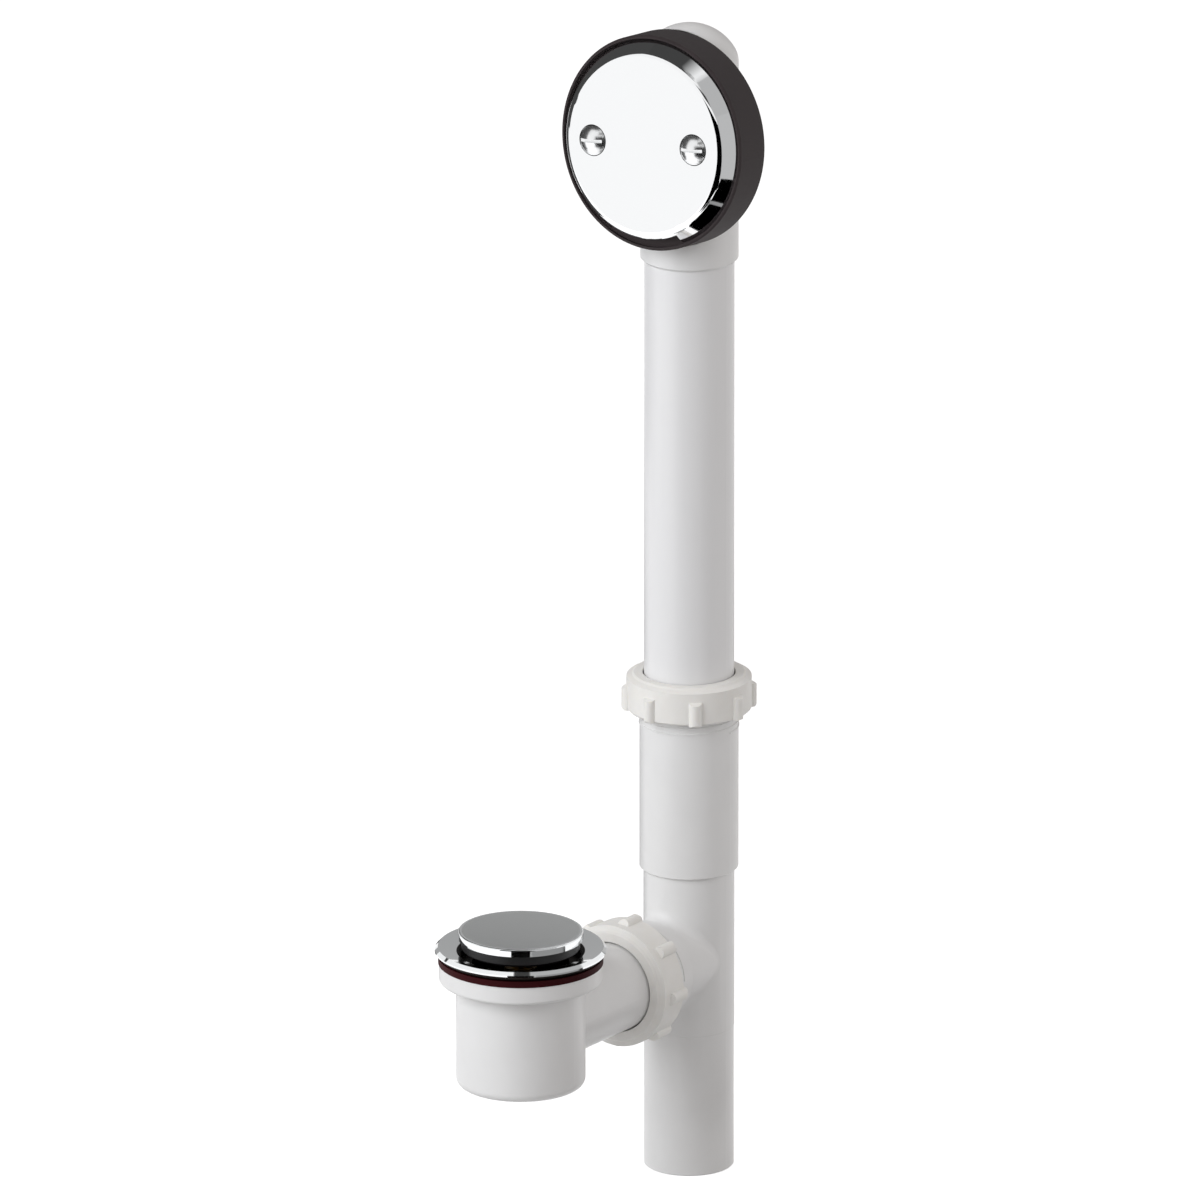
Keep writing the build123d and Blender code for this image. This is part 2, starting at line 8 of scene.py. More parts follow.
import bpy
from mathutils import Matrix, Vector


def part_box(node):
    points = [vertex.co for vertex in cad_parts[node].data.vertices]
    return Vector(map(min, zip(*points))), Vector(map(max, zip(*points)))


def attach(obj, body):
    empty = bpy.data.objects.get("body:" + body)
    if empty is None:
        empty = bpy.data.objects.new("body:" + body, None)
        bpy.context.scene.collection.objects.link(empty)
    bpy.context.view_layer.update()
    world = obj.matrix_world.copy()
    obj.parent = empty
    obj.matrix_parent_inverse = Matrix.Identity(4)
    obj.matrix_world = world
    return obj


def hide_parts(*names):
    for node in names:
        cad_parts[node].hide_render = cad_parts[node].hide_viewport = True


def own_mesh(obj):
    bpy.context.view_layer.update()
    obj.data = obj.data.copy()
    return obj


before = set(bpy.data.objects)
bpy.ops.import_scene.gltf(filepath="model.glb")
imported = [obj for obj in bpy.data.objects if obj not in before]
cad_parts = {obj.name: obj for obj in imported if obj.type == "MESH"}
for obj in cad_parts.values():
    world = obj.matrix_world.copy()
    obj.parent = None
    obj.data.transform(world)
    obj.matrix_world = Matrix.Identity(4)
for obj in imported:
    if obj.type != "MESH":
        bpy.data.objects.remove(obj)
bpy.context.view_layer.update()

LOG = logging.getLogger("bath_waste")
MM = 0.001
SMOOTH_ANGLE = math.radians(40)
# A card's plane is one unit wide before it is scaled, and a card that isn't feathered fades in this little
HALF_CARD = 0.5
HARD_EDGE = 0.001


class Body(Enum):
    """How a chromed piece was finished after plating, or where its bore and underside carry painted shade.
    """

    TEE = "tee"
    SHOE = "shoe"


class Coat(Enum):
    """How a chromed piece was finished after plating."""

    BRIGHT = "bright"
    SATIN_TOP = "satin_top"
    # Painted shade: the bore under the cap and the underside below the rim are coloured near black
    BARE_BORE = "shaded_bore"


def linear(hex_colour: str) -> tuple[float, float, float, float]:
    """Turns an sRGB hex colour into linear light.

    Args:
        hex_colour: six hex digits, such as "E4E6E8".

    Returns:
        Linear red, green and blue, and an alpha of one.
    """
    parts = [int(hex_colour[i : i + 2], 16) / 255 for i in (0, 2, 4)]
    red, green, blue = (c / 12.92 if c <= 0.04045 else ((c + 0.055) / 1.055) ** 2.4 for c in parts)
    return red, green, blue, 1.0


def per_metre(size_mm: float) -> float:
    """Gives the texture scale at which one feature of a pattern has a given width.

    Args:
        size_mm: width of one feature, in millimetres.

    Returns:
        The scale, in features per metre.
    """
    return 1.0 / (size_mm * MM)


def outward(azimuth: float, elevation: float) -> Vector:
    """Gives the direction from the part to a lamp, a card or the camera.

    Args:
        azimuth: degrees to the right of the bath side.
        elevation: degrees above level.

    Returns:
        The direction, of length one.
    """
    turn, rise = math.radians(azimuth), math.radians(elevation)
    return Vector((math.sin(turn) * math.cos(rise), -math.cos(turn) * math.cos(rise), math.sin(rise)))


def add_node(
    tree: bpy.types.NodeTree, kind: str, inputs: dict | None = None, **settings: object
) -> bpy.types.Node:
    """Adds a shader node with its settings, values and links.

    Args:
        tree: node tree that takes the node.
        kind: Blender's name of the node type.
        inputs: socket name or number to a value, or to an output socket to link.
        settings: attributes to set on the node.

    Returns:
        The new node.
    """
    node = tree.nodes.new(kind)
    for name, value in settings.items():
        setattr(node, name, value)
    for socket, value in (inputs or {}).items():
        if isinstance(value, bpy.types.NodeSocket):
            tree.links.new(value, node.inputs[socket])
        else:
            node.inputs[socket].default_value = value
    return node


def new_material(name: str) -> tuple[bpy.types.Material, bpy.types.NodeTree, bpy.types.Node]:
    """Makes an empty node material with a Principled shader on its output.

    Args:
        name: name of the finish.

    Returns:
        The material, its node tree and its Principled node.
    """
    material = bpy.data.materials.new(name)
    material.use_nodes = True
    tree = material.node_tree
    tree.nodes.clear()
    shader = add_node(tree, "ShaderNodeBsdfPrincipled")
    add_node(tree, "ShaderNodeOutputMaterial", {"Surface": shader.outputs["BSDF"]})
    return material, tree, shader


@dataclass(frozen=True)
class MouldedPlastic:
    """Injection-moulded or extruded plastic: cloudy tone, fine skin texture and a soft gloss."""

    name: str
    pale: str
    deep: str
    roughness: tuple[float, float]
    ior: float
    cloud_mm: float
    skin_mm: float
    skin_depth_mm: float
    drawn: float = 1.0
    glow: float = 0.0
    skin_strength: float = 0.6
    glow_spread: tuple[float, float, float] = (1.0, 0.9, 0.7)
    glow_depth_mm: float = 2.0

    def make(self) -> bpy.types.Material:
        """Builds the material.

        Returns:
            The finished material.
        """
        material, tree, shader = new_material(self.name)
        place = add_node(tree, "ShaderNodeTexCoord")
        along = add_node(
            tree,
            "ShaderNodeMapping",
            {"Vector": place.outputs["Object"], "Scale": (1.0, 1.0, 1.0 / self.drawn)},
        )
        cloud = add_node(
            tree,
            "ShaderNodeTexNoise",
            {"Vector": along.outputs[0], "Scale": per_metre(self.cloud_mm), "Detail": 3.0},
        )
        tone = add_node(
            tree,
            "ShaderNodeMix",
            {"Factor": cloud.outputs["Fac"], 6: linear(self.pale), 7: linear(self.deep)},
            data_type="RGBA",
        )
        gloss = add_node(
            tree,
            "ShaderNodeMapRange",
            {"Value": cloud.outputs["Fac"], "To Min": self.roughness[0], "To Max": self.roughness[1]},
        )
        skin = add_node(
            tree,
            "ShaderNodeTexNoise",
            {"Vector": along.outputs[0], "Scale": per_metre(self.skin_mm), "Detail": 2.0},
        )
        bump = add_node(
            tree,
            "ShaderNodeBump",
            {
                "Height": skin.outputs["Fac"],
                "Distance": self.skin_depth_mm * MM,
                "Strength": self.skin_strength,
            },
        )
        tree.links.new(tone.outputs[2], shader.inputs["Base Color"])
        tree.links.new(gloss.outputs[0], shader.inputs["Roughness"])
        tree.links.new(bump.outputs[0], shader.inputs["Normal"])
        shader.inputs["IOR"].default_value = self.ior
        if self.glow:
            shader.inputs["Subsurface Weight"].default_value = self.glow
            shader.inputs["Subsurface Radius"].default_value = self.glow_spread
            shader.inputs["Subsurface Scale"].default_value = self.glow_depth_mm * MM
        return material


@dataclass(frozen=True)
class PlatedMetal:
    """Chrome plate over brass or steel: a mirror with faint wiping marks."""

    name: str
    colour: str
    roughness: tuple[float, float]
    wipe_mm: float
    coat: Coat = Coat.BRIGHT
    centre: tuple[float, float] = (0.0, 0.0)
    inner_radius_mm: float = 0.0
    inner_level_mm: float = 0.0
    inner_colour: str = "D4D6D6"
    inner_roughness: float = 0.3
    turning_mm: float = 0.9
    turning_spread: float = 0.05

    def make(self) -> bpy.types.Material:
        """Builds the material.

        Returns:
            The finished material.
        """
        material, tree, shader = new_material(self.name)
        place = add_node(tree, "ShaderNodeTexCoord")
        wipe = add_node(
            tree,
            "ShaderNodeTexNoise",
            {"Vector": place.outputs["Object"], "Scale": per_metre(self.wipe_mm), "Detail": 4.0},
        )
        gloss = add_node(
            tree,
            "ShaderNodeMapRange",
            {"Value": wipe.outputs["Fac"], "To Min": self.roughness[0], "To Max": self.roughness[1]},
        )
        shader.inputs["Metallic"].default_value = 1.0
        if self.coat is Coat.BRIGHT:
            shader.inputs["Base Color"].default_value = linear(self.colour)
            tree.links.new(gloss.outputs[0], shader.inputs["Roughness"])
            return material
        self.satin_top_or_shaded_bore(tree, shader, place, gloss)
        return material

    def satin_top_or_shaded_bore(
        self,
        tree: bpy.types.NodeTree,
        shader: bpy.types.Node,
        place: bpy.types.Node,
        gloss: bpy.types.Node,
    ) -> None:
        """Gives the turned top a satin surface of its own, or colours the bore and underside near black as
        painted shade, and leaves the rest bright.

        Args:
            tree: node tree of the material.
            shader: its Principled node.
            place: its Texture Coordinate node.
            gloss: node whose output is the bright plate's roughness.
        """
        centred = add_node(
            tree,
            "ShaderNodeMapping",
            {"Vector": place.outputs["Object"], "Location": (-self.centre[0], -self.centre[1], 0.0)},
        )
        split = add_node(tree, "ShaderNodeSeparateXYZ", {"Vector": centred.outputs[0]})
        flat = add_node(tree, "ShaderNodeCombineXYZ", {"X": split.outputs["X"], "Y": split.outputs["Y"]})
        radius = add_node(tree, "ShaderNodeVectorMath", {0: flat.outputs[0]}, operation="LENGTH")
        inside = add_node(
            tree,
            "ShaderNodeMath",
            {0: radius.outputs["Value"], 1: self.inner_radius_mm * MM},
            operation="LESS_THAN",
        )
        past_level = add_node(
            tree,
            "ShaderNodeMath",
            {0: split.outputs["Z"], 1: self.inner_level_mm * MM},
            operation="GREATER_THAN" if self.coat is Coat.SATIN_TOP else "LESS_THAN",
        )
        top = add_node(
            tree,
            "ShaderNodeMath",
            {0: inside.outputs[0], 1: past_level.outputs[0]},
            operation="MULTIPLY" if self.coat is Coat.SATIN_TOP else "MAXIMUM",
        )
        rings = add_node(
            tree,
            "ShaderNodeTexNoise",
            {"W": radius.outputs["Value"], "Scale": per_metre(self.turning_mm), "Detail": 3.0},
            noise_dimensions="1D",
        )
        satin = add_node(
            tree,
            "ShaderNodeMapRange",
            {
                "Value": rings.outputs["Fac"],
                "To Min": self.inner_roughness - self.turning_spread,
                "To Max": self.inner_roughness + self.turning_spread,
            },
        )
        rough = add_node(
            tree, "ShaderNodeMix", {"Factor": top.outputs[0], 2: gloss.outputs[0], 3: satin.outputs[0]}
        )
        # For the shaded bore this colour is painted shade: near black where the cap and the rim shade the
        # flange
        tone = add_node(
            tree,
            "ShaderNodeMix",
            {"Factor": top.outputs[0], 6: linear(self.colour), 7: linear(self.inner_colour)},
            data_type="RGBA",
        )
        tree.links.new(rough.outputs[0], shader.inputs["Roughness"])
        tree.links.new(tone.outputs[2], shader.inputs["Base Color"])


@dataclass(frozen=True)
class MouldedRubber:
    """Moulded rubber: a dull skin with a fine grain and a dusty bloom."""

    name: str
    colour: str
    bloom: str
    roughness: tuple[float, float]
    grain_mm: float
    bloom_mm: float
    grain_depth_mm: float = 0.03
    shine: float = 0.5
    grain_strength: float = 0.7

    def make(self) -> bpy.types.Material:
        """Builds the material.

        Returns:
            The finished material.
        """
        material, tree, shader = new_material(self.name)
        place = add_node(tree, "ShaderNodeTexCoord")
        dust = add_node(
            tree,
            "ShaderNodeTexNoise",
            {"Vector": place.outputs["Object"], "Scale": per_metre(self.bloom_mm), "Detail": 5.0},
        )
        tone = add_node(
            tree,
            "ShaderNodeMix",
            {"Factor": dust.outputs["Fac"], 6: linear(self.colour), 7: linear(self.bloom)},
            data_type="RGBA",
        )
        gloss = add_node(
            tree,
            "ShaderNodeMapRange",
            {"Value": dust.outputs["Fac"], "To Min": self.roughness[0], "To Max": self.roughness[1]},
        )
        grain = add_node(
            tree,
            "ShaderNodeTexNoise",
            {"Vector": place.outputs["Object"], "Scale": per_metre(self.grain_mm), "Detail": 2.0},
        )
        bump = add_node(
            tree,
            "ShaderNodeBump",
            {
                "Height": grain.outputs["Fac"],
                "Distance": self.grain_depth_mm * MM,
                "Strength": self.grain_strength,
            },
        )
        tree.links.new(tone.outputs[2], shader.inputs["Base Color"])
        tree.links.new(gloss.outputs[0], shader.inputs["Roughness"])
        tree.links.new(bump.outputs[0], shader.inputs["Normal"])
        shader.inputs["Specular IOR Level"].default_value = self.shine
        return material


@dataclass(frozen=True)
class TurnedMetal:
    """Bare metal from a lathe or a draw plate: fine tool marks and a slightly tarnished tone."""

    name: str
    colour: str
    tarnish: str
    roughness: tuple[float, float]
    mark_mm: float

    def make(self) -> bpy.types.Material:
        """Builds the material.

        Returns:
            The finished material.
        """
        material, tree, shader = new_material(self.name)
        place = add_node(tree, "ShaderNodeTexCoord")
        marks = add_node(
            tree,
            "ShaderNodeTexNoise",
            {"Vector": place.outputs["Object"], "Scale": per_metre(self.mark_mm), "Detail": 4.0},
        )
        tone = add_node(
            tree,
            "ShaderNodeMix",
            {"Factor": marks.outputs["Fac"], 6: linear(self.colour), 7: linear(self.tarnish)},
            data_type="RGBA",
        )
        gloss = add_node(
            tree,
            "ShaderNodeMapRange",
            {"Value": marks.outputs["Fac"], "To Min": self.roughness[0], "To Max": self.roughness[1]},
        )
        shader.inputs["Metallic"].default_value = 1.0
        tree.links.new(tone.outputs[2], shader.inputs["Base Color"])
        tree.links.new(gloss.outputs[0], shader.inputs["Roughness"])
        return material


def middle(node: str) -> Vector:
    """Gives the middle of a solid's box at rest.

    Args:
        node: name of the solid.

    Returns:
        The middle, in metres.
    """
    low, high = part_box(node)
    return (Vector(low) + Vector(high)) / 2


DRAIN_AXIS = middle("drain_washer").xy
HEAD = tuple(middle("overflow_plate"))
RIM_DEPTH_MM = 2.05
BORE_RADIUS_MM = 27.1
SATIN_RADIUS_MM = 24.9
SATIN_DEPTH_MM = 1.3
RIM_UNDER_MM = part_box("drain_flange")[1][2] / MM - RIM_DEPTH_MM
SATIN_FOOT_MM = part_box("stopper_cap")[1][2] / MM - SATIN_DEPTH_MM

# Moulded PVC: cool white, a soft gloss that spreads the light
PVC_MOULDED = MouldedPlastic(
    "pvc_moulded",
    "ECECEB",
    "E6E6E5",
    (0.32, 0.40),
    ior=1.54,
    cloud_mm=14.0,
    skin_mm=1.2,
    skin_depth_mm=0.02,
)
# Extruded PVC pipe: as moulded, with tone and skin drawn out along the pipe
PVC_EXTRUDED = MouldedPlastic(
    "pvc_extruded",
    "ECECEC",
    "E7E7E7",
    (0.30, 0.38),
    ior=1.54,
    cloud_mm=5.0,
    skin_mm=0.8,
    skin_depth_mm=0.02,
    drawn=40.0,
)
# Polypropylene: warmer, a little translucent, with a dull moulded skin
POLYPROPYLENE = MouldedPlastic(
    "polypropylene",
    "F2F1ED",
    "EBE9E4",
    (0.38, 0.50),
    ior=1.49,
    cloud_mm=6.0,
    skin_mm=1.0,
    skin_depth_mm=0.03,
    glow=0.12,
)
# Polyethylene washers: milky and waxy
POLYETHYLENE = MouldedPlastic(
    "polyethylene",
    "E9E8E2",
    "E0DFD8",
    (0.45, 0.55),
    ior=1.51,
    cloud_mm=5.0,
    skin_mm=1.0,
    skin_depth_mm=0.02,
    glow=0.2,
)
# Bright chrome plate: a clear mirror
CHROME = PlatedMetal("chrome_plate", "F3F4F5", (0.03, 0.07), wipe_mm=12.0)
# Screw heads: plated too, but only tumbled smooth, so the mirror is softer
CHROME_SCREW = PlatedMetal("chrome_plate_tumbled", "EFF0F1", (0.20, 0.28), wipe_mm=6.0)
# Drain flange: bright plate on top, and a dull bore and underside coloured near black as painted shade under
# the cap and the rim
CHROME_FLANGE = PlatedMetal(
    "chrome_plate_shaded_bore",
    "EDEFF0",
    (0.03, 0.07),
    wipe_mm=12.0,
    coat=Coat.BARE_BORE,
    centre=tuple(DRAIN_AXIS),
    inner_radius_mm=BORE_RADIUS_MM,
    inner_level_mm=RIM_UNDER_MM,
    inner_colour="2A2522",
    inner_roughness=0.5,
)
# Stopper: bright plate at the edge, satin turned top
CHROME_SATIN = PlatedMetal(
    "chrome_satin_top",
    "EDEFF0",
    (0.04, 0.08),
    wipe_mm=12.0,
    coat=Coat.SATIN_TOP,
    centre=tuple(DRAIN_AXIS),
    inner_radius_mm=SATIN_RADIUS_MM,
    inner_level_mm=SATIN_FOOT_MM,
)
# Gasket rubber: brown-black, dull, with a dusty bloom
GASKET_RUBBER = MouldedRubber(
    "gasket_rubber", "302A2B", "3E3738", (0.58, 0.70), grain_mm=0.7, bloom_mm=9.0, shine=0.25
)
# Seal rubber: smooth black
SEAL_RUBBER = MouldedRubber(
    "seal_rubber", "121112", "1A191A", (0.38, 0.46), grain_mm=0.9, bloom_mm=8.0, grain_depth_mm=0.015
)
# Washer rubber: dark red, dull, and darkened further as painted shade under the flange's rim
WASHER_RUBBER = MouldedRubber(
    "washer_rubber", "2E060A", "3A0A0F", (0.55, 0.65), grain_mm=0.7, bloom_mm=6.0, shine=0.1
)
# Brass: yellow, turned on a lathe
BRASS = TurnedMetal("turned_brass", "A98A4C", "84693A", (0.28, 0.40), mark_mm=2.0)
# Spring wire: drawn stainless steel
SPRING_WIRE = TurnedMetal("drawn_stainless_wire", "B9BABA", "A5A6A6", (0.22, 0.30), mark_mm=1.0)


def dress(node: str, material: bpy.types.Material) -> None:
    """Gives a solid's object one finish.

    Args:
        node: name of the solid.
        material: its finish.
    """
    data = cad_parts[node].data
    data.materials.clear()
    data.materials.append(material)
    LOG.info("%s: %s", node, material.name)


def start_piece() -> None:
    """Leaves object mode as the mode and nothing selected."""
    if bpy.context.object and bpy.context.object.mode != "OBJECT":
        bpy.ops.object.mode_set(mode="OBJECT")
    bpy.ops.object.select_all(action="DESELECT")


def coil(
    name: str,
    sides: int,
    wire: float,
    radius: float,
    foot: float,
    pitch: float,
    turns: int,
    steps: int,
) -> bpy.types.Object:
    """Sweeps a small even-sided profile up a screw line round Z.

    Args:
        name: name of the piece.
        sides: corners of the profile.
        wire: radius of the profile, in metres.
        radius: radius of the screw line, in metres.
        foot: height of its start, in metres.
        pitch: rise in one turn, in metres.
        turns: whole turns.
        steps: steps in one turn.

    Returns:
        The closed mesh, at the origin.
    """
    start_piece()
    bpy.ops.mesh.primitive_circle_add(
        vertices=sides,
        radius=wire,
        location=(radius, 0.0, foot),
        rotation=(math.pi / 2, 0.0, 0.0),
    )
    piece = bpy.context.object
    piece.name = name
    piece.data.name = name
    bpy.ops.object.transform_apply(location=True, rotation=True, scale=True)
    screw = piece.modifiers.new("turns", "SCREW")
    screw.axis = "Z"
    screw.angle = 2 * math.pi
    screw.screw_offset = pitch
    screw.iterations = turns
    screw.steps = steps
    screw.render_steps = steps
    screw.use_merge_vertices = True
    bpy.ops.object.modifier_apply(modifier=screw.name)
    bpy.ops.object.mode_set(mode="EDIT")
    bpy.ops.mesh.select_all(action="SELECT")
    bpy.ops.mesh.fill_holes(sides=sides)
    bpy.ops.mesh.normals_make_consistent(inside=False)
    bpy.ops.object.mode_set(mode="OBJECT")
    bpy.ops.object.shade_smooth_by_angle(angle=SMOOTH_ANGLE)
    return piece


def set_in_place(piece: bpy.types.Object, place: Vector, tip: float = 0.0) -> None:
    """Tips a piece about X, moves it to its place and leaves its object at the origin.

    Args:
        piece: the piece, made round Z at the origin.
        place: where its origin goes.
        tip: turn about X, in radians.
    """
    start_piece()
    piece.select_set(True)
    bpy.context.view_layer.objects.active = piece
    piece.rotation_euler = (tip, 0.0, 0.0)
    piece.location = place
    bpy.ops.object.transform_apply(location=True, rotation=True, scale=True)


@dataclass
class WasteTee:
    """Tee with its two threaded sockets, slip nuts and slip washers."""

    body: Body = Body.TEE
    socket_radius: float = 20.95 * MM
    ridge: float = 0.55 * MM
    ridge_sunk: float = 0.15 * MM
    thread_pitch: float = 2.6 * MM
    thread_turns: int = 3
    ridge_sides: int = 6
    ridge_steps: int = 64

    def build(self) -> None:
        """Dresses the tee, the nuts and the washers, and winds the threads."""
        plastic = PVC_MOULDED.make()
        dress("waste_tee", plastic)
        self.wind_threads(plastic)
        nuts = POLYPROPYLENE.make()
        dress("overflow_slip_nut", nuts)
        dress("shoe_slip_nut", nuts)
        washers = POLYETHYLENE.make()
        dress("overflow_slip_washer", washers)
        dress("shoe_slip_washer", washers)

    def wind_threads(self, plastic: bpy.types.Material) -> None:
        """Winds the thread ridges that run out from under both nuts.

        Args:
            plastic: the tee's own plastic.
        """
        nut_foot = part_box("overflow_slip_nut")[0][2]
        branch = middle("shoe_slip_nut")
        branch_foot = Vector((branch.x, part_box("shoe_slip_nut")[1][1], branch.z))
        for name, foot, tip in (
            ("overflow_socket_thread", Vector((0.0, 0.0, nut_foot)), 0.0),
            ("branch_socket_thread", branch_foot, math.pi / 2),
        ):
            run = self.thread_pitch * self.thread_turns
            thread = coil(
                name,
                self.ridge_sides,
                self.ridge,
                self.socket_radius - self.ridge_sunk,
                -run,
                self.thread_pitch,
                self.thread_turns,
                self.ridge_steps,
            )
            set_in_place(thread, foot, tip)
            thread.data.materials.append(plastic)
            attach(thread, self.body.value)
            LOG.info("%s wound", name)


class OverflowHead:
    """Overflow tube, elbow, gasket and chromed plate with its screws."""

    def build(self, chrome: bpy.types.Material, brass: bpy.types.Material) -> None:
        """Dresses the tube, elbow, gasket, plate, screws and inserts.

        Args:
            chrome: bright plate.
            brass: bare brass.
        """
        dress("overflow_tube", PVC_EXTRUDED.make())
        dress("overflow_elbow", PVC_MOULDED.make())
        dress("overflow_gasket", GASKET_RUBBER.make())
        dress("overflow_plate", chrome)
        dress("plate_screws", CHROME_SCREW.make())
        dress("screw_inserts", brass)


@dataclass
class DrainShoe:
    """Shoe, washer, chromed flange and the stopper's cartridge with its spring."""

    body: Body = Body.SHOE
    spring_radius: float = 4.75 * MM
    wire_radius: float = 0.45 * MM
    spring_turns: int = 3
    stopper_travel: float = 5.0 * MM
    end_gap: float = 0.35 * MM
    wire_sides: int = 10
    wire_steps: int = 40

    def build(self, brass: bpy.types.Material) -> None:
        """Dresses the shoe's solids and winds its spring.

        Args:
            brass: bare brass.
        """
        dress("drain_shoe", PVC_MOULDED.make())
        dress("drain_washer", WASHER_RUBBER.make())
        dress("drain_flange", CHROME_FLANGE.make())
        dress("cartridge_barrel", brass)
        dress("cartridge_collar", brass)
        self.wind_spring()

    def wind_spring(self) -> None:
        """Winds the spring between the cartridge and the stopper's boss."""
        low, high = (corner[2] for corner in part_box("stopper_spring"))
        rise = high - low - 2 * self.wire_radius
        spring = coil(
            "spring_coil",
            self.wire_sides,
            self.wire_radius,
            self.spring_radius,
            low + self.wire_radius,
            rise / self.spring_turns,
            self.spring_turns,
            self.wire_steps,
        )
        set_in_place(spring, Vector((*DRAIN_AXIS, 0.0)))
        spring.data.materials.append(SPRING_WIRE.make())
        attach(spring, self.body.value)
        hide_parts("stopper_spring")
        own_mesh(spring)
        LOG.info("spring_coil wound")


class Stopper:
    """Cap, seal and plunger that are pressed down together."""

    def build(self, brass: bpy.types.Material) -> None:
        """Dresses the cap, seal and plunger.

        Args:
            brass: bare brass.
        """
        dress("stopper_cap", CHROME_SATIN.make())
        dress("stopper_seal", SEAL_RUBBER.make())
        dress("stopper_plunger", brass)


@dataclass
class Lamp:
    """Square soft lamp that points at the part."""

    name: str
    azimuth: float
    elevation: float
    distance: float
    size: float
    power: float
    colour: str = "FFFFFF"

    def build(self, aim: Vector) -> None:
        """Adds the lamp.

        Args:
            aim: point that it faces.
        """
        away = outward(self.azimuth, self.elevation)
        data = bpy.data.lights.new(self.name, "AREA")
        data.shape = "SQUARE"
        data.size = self.size
        data.energy = self.power
        data.color = linear(self.colour)[:3]
        lamp = bpy.data.objects.new(self.name, data)
        lamp.location = aim + away * self.distance
        lamp.rotation_mode = "QUATERNION"
        lamp.rotation_quaternion = away.to_track_quat("Z", "Y")
        lamp.visible_glossy = False
        bpy.context.scene.collection.objects.link(lamp)


@dataclass
class Card:
    """Flat studio card that shows only in polished metal, as a photographer's flag does."""

    name: str
    azimuth: float
    elevation: float
    distance: float
    size: tuple[float, float]
    level: float
    aim: tuple[float, float, float]
    feather: tuple[float, float] = (0.0, 0.0)

    def build(self) -> None:
        """Adds the card, facing the point it is aimed at."""
        away = outward(self.azimuth, self.elevation)
        start_piece()
        bpy.ops.mesh.primitive_plane_add(size=1.0)
        card = bpy.context.object
        card.name = self.name
        card.scale = (*self.size, 1.0)
        card.rotation_mode = "QUATERNION"
        card.rotation_quaternion = away.to_track_quat("Z", "Y")
        card.location = Vector(self.aim) + away * self.distance
        material = bpy.data.materials.new(self.name)
        material.use_nodes = True
        tree = material.node_tree
        tree.nodes.clear()
        glow = add_node(tree, "ShaderNodeEmission", {"Strength": self.level})
        clear = add_node(tree, "ShaderNodeBsdfTransparent")
        soft = add_node(
            tree,
            "ShaderNodeMixShader",
            {0: self.soften(tree), 1: clear.outputs[0], 2: glow.outputs[0]},
        )
        add_node(tree, "ShaderNodeOutputMaterial", {"Surface": soft.outputs[0]})
        card.data.materials.append(material)
        card.visible_camera = False
        card.visible_diffuse = False
        card.visible_transmission = False
        card.visible_shadow = False

    def soften(self, tree: bpy.types.NodeTree) -> bpy.types.NodeSocket:
        """Fades the card out towards its edges, so that its mirror image has no hard line.

        Args:
            tree: node tree to add the fade to.

        Returns:
            The output socket, one in the middle of the card and nought at a feathered edge.
        """
        place = add_node(tree, "ShaderNodeTexCoord")
        split = add_node(tree, "ShaderNodeSeparateXYZ", {"Vector": place.outputs["Object"]})
        fades = []
        for axis, feather in zip("XY", self.feather):
            off = add_node(tree, "ShaderNodeMath", {0: split.outputs[axis]}, operation="ABSOLUTE")
            fade = add_node(
                tree,
                "ShaderNodeMapRange",
                {
                    "Value": off.outputs[0],
                    "From Min": HALF_CARD - max(feather, HARD_EDGE),
                    "From Max": HALF_CARD,
                    "To Min": 1.0,
                    "To Max": 0.0,
                },
            )
            fades.append(fade.outputs[0])
        return add_node(tree, "ShaderNodeMath", {0: fades[0], 1: fades[1]}, operation="MULTIPLY").outputs[0]


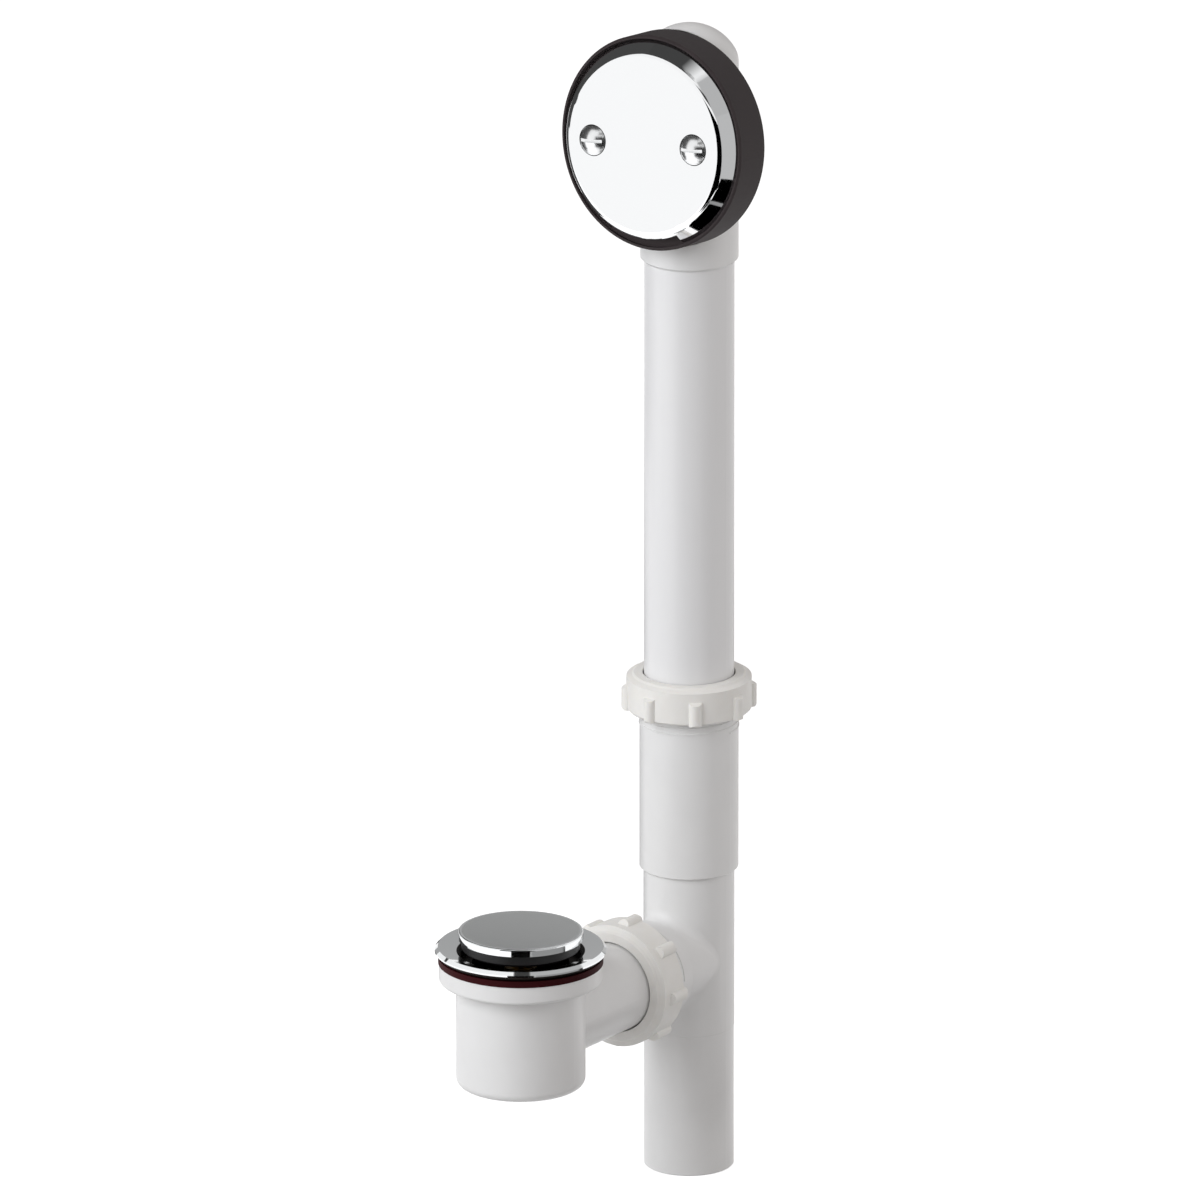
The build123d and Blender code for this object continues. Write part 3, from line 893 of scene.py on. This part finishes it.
@dataclass
class Studio:
    """Floor, surrounding light, lamps, cards and camera."""

    floor_radius: float = 6.0
    floor_sides: int = 96
    floor_colour: str = "BCBCBC"
    floor_lift: float = 0.80
    surround: float = 0.70
    overhead: float = 0.40
    surround_colour: str = "FFFBFA"
    seen_level: float = 1.0
    seen_colour: str = "FFFFFF"
    aim_height: float = 0.2505
    aim_left: float = 0.0376
    azimuth: float = 35.0
    elevation: float = 18.2
    distance: float = 20.0
    frame_width: float = 0.5063
    sensor: float = 36.0
    clip_end: float = 200.0
    lamps: list[Lamp] = field(
        default_factory=lambda: [
            Lamp("key_softbox", -20.0, 28.0, 2.0, 1.2, 23.0, "F8FBFF"),
            Lamp("fill_softbox", 115.0, 15.0, 0.6, 0.4, 0.3, "FFFFFF"),
        ]
    )

    cards: list[Card] = field(
        default_factory=lambda: [
            Card("white_card_left", -33.0, -8.0, 1.5, (1.7, 1.2), 1.04, HEAD),
            Card("dark_card_left", -90.0, 0.0, 0.25, (0.535, 0.44), 0.06, (0.0, 0.0325, 0.64)),
            Card("dark_card_left_low", -90.0, 0.0, 0.25, (0.22, 0.18), 0.06, (0.0, -0.03, 0.33)),
            Card("dark_card_above", 0.0, 89.9, 0.45, (0.76, 0.75), 0.055, (-0.22, -0.025, 0.50), (0.2, 0.0)),
            Card("black_card_front", 30.0, 0.0, 0.6, (0.75, 0.72), 0.0, (0.0, -0.035, 0.36)),
            Card("grey_card_right", 80.0, 20.0, 0.55, (0.50, 1.2), 0.52, HEAD),
            Card(
                "grey_card_over_right",
                0.0,
                89.9,
                0.29,
                (0.66, 0.92),
                0.48,
                (0.42, 0.04, 0.46),
                (0.08, 0.08),
            ),
            Card("grey_card_behind", 215.0, 20.0, 1.6, (2.0, 1.0), 0.40, (*DRAIN_AXIS, 0.13)),
            Card(
                "black_card_over_drain",
                35.0,
                89.9,
                0.57,
                (0.17, 0.14),
                0.05,
                (0.135, -0.297, 0.13),
                (0.1, 0.1),
            ),
            Card("black_card_low", 35.0, 0.0, 0.36, (0.22, 0.11), 0.0, (*DRAIN_AXIS, 0.06)),
            Card(
                "grey_card_low_right",
                85.0,
                0.0,
                0.33,
                (0.62, 0.055),
                0.30,
                (*DRAIN_AXIS, 0.033),
                (0.2, 0.0),
            ),
            Card("black_card_on_floor", 0.0, -89.9, 0.127, (0.94, 0.44), 0.0, (0.53, -0.12, 0.13)),
            Card("dark_card_on_floor", 0.0, -89.9, 0.127, (0.60, 0.70), 0.06, (-0.45, 0.40, 0.13)),
        ]
    )

    def build(self) -> None:
        """Sets up the whole studio."""
        self.lay_floor()
        for card in self.cards:
            card.build()
        self.light_surround()
        for lamp in self.lamps:
            lamp.build(Vector((0.0, 0.0, self.aim_height)))
        self.place_camera()
        bpy.context.scene.view_settings.view_transform = "Standard"

    def seen(self, tree: bpy.types.NodeTree) -> bpy.types.NodeSocket:
        """Gives one for camera, mirror and transmission rays, and zero for those that light the part.

        Args:
            tree: node tree to add the test to.

        Returns:
            The output socket of the test.
        """
        path = add_node(tree, "ShaderNodeLightPath")
        mirror = add_node(
            tree,
            "ShaderNodeMath",
            {0: path.outputs["Is Camera Ray"], 1: path.outputs["Is Glossy Ray"]},
            operation="MAXIMUM",
        )
        either = add_node(
            tree,
            "ShaderNodeMath",
            {0: mirror.outputs[0], 1: path.outputs["Is Transmission Ray"]},
            operation="MAXIMUM",
        )
        return either.outputs[0]

    def lay_floor(self) -> None:
        """Lays a pale round floor under the outlet, which keeps the part's shadow."""
        start_piece()
        bpy.ops.mesh.primitive_circle_add(
            vertices=self.floor_sides, radius=self.floor_radius, fill_type="NGON"
        )
        floor = bpy.context.object
        floor.name = "floor"
        material = bpy.data.materials.new("floor_paper")
        material.use_nodes = True
        tree = material.node_tree
        tree.nodes.clear()
        paper = add_node(tree, "ShaderNodeBsdfDiffuse", {"Color": linear(self.floor_colour)})
        lift = add_node(
            tree,
            "ShaderNodeMath",
            {0: self.seen(tree), 1: self.floor_lift},
            operation="MULTIPLY",
        )
        glow = add_node(tree, "ShaderNodeEmission", {"Strength": lift.outputs[0]})
        both = add_node(tree, "ShaderNodeAddShader", {0: paper.outputs[0], 1: glow.outputs[0]})
        add_node(tree, "ShaderNodeOutputMaterial", {"Surface": both.outputs[0]})
        floor.data.materials.append(material)

    def light_surround(self) -> None:
        """Makes the surround white to the eye and a soft light on the part, weaker from overhead."""
        world = bpy.data.worlds.new("white_surround")
        bpy.context.scene.world = world
        world.use_nodes = True
        tree = world.node_tree
        tree.nodes.clear()
        place = add_node(tree, "ShaderNodeTexCoord")
        split = add_node(tree, "ShaderNodeSeparateXYZ", {"Vector": place.outputs["Generated"]})
        height = add_node(
            tree,
            "ShaderNodeMapRange",
            {"Value": split.outputs["Z"], "To Min": self.surround, "To Max": self.overhead},
        )
        seen = self.seen(tree)
        level = add_node(
            tree, "ShaderNodeMix", {"Factor": seen, 2: height.outputs[0], 3: self.seen_level}
        )
        warmth = add_node(
            tree,
            "ShaderNodeMix",
            {"Factor": seen, 6: linear(self.surround_colour), 7: linear(self.seen_colour)},
            data_type="RGBA",
        )
        light = add_node(
            tree, "ShaderNodeBackground", {"Color": warmth.outputs[2], "Strength": level.outputs[0]}
        )
        add_node(tree, "ShaderNodeOutputWorld", {"Surface": light.outputs[0]})

    def place_camera(self) -> None:
        """Places a long-lens camera at the photograph's angle."""
        away = outward(self.azimuth, self.elevation)
        turn = math.radians(self.azimuth)
        right = Vector((math.cos(turn), math.sin(turn), 0.0))
        aim = Vector((0.0, 0.0, self.aim_height)) - right * self.aim_left
        data = bpy.data.cameras.new("camera")
        data.sensor_width = self.sensor
        data.lens = self.sensor * self.distance / self.frame_width
        data.clip_end = self.clip_end
        camera = bpy.data.objects.new("camera", data)
        camera.location = aim + away * self.distance
        camera.rotation_mode = "QUATERNION"
        camera.rotation_quaternion = away.to_track_quat("Z", "Y")
        bpy.context.scene.collection.objects.link(camera)
        bpy.context.scene.camera = camera


def main() -> None:
    """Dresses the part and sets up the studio."""
    logging.basicConfig(level=logging.INFO, format="%(name)s: %(message)s")
    chrome = CHROME.make()
    brass = BRASS.make()
    WasteTee().build()
    OverflowHead().build(chrome, brass)
    DrainShoe().build(brass)
    Stopper().build(brass)
    Studio().build()


if __name__ == "__main__":
    main()
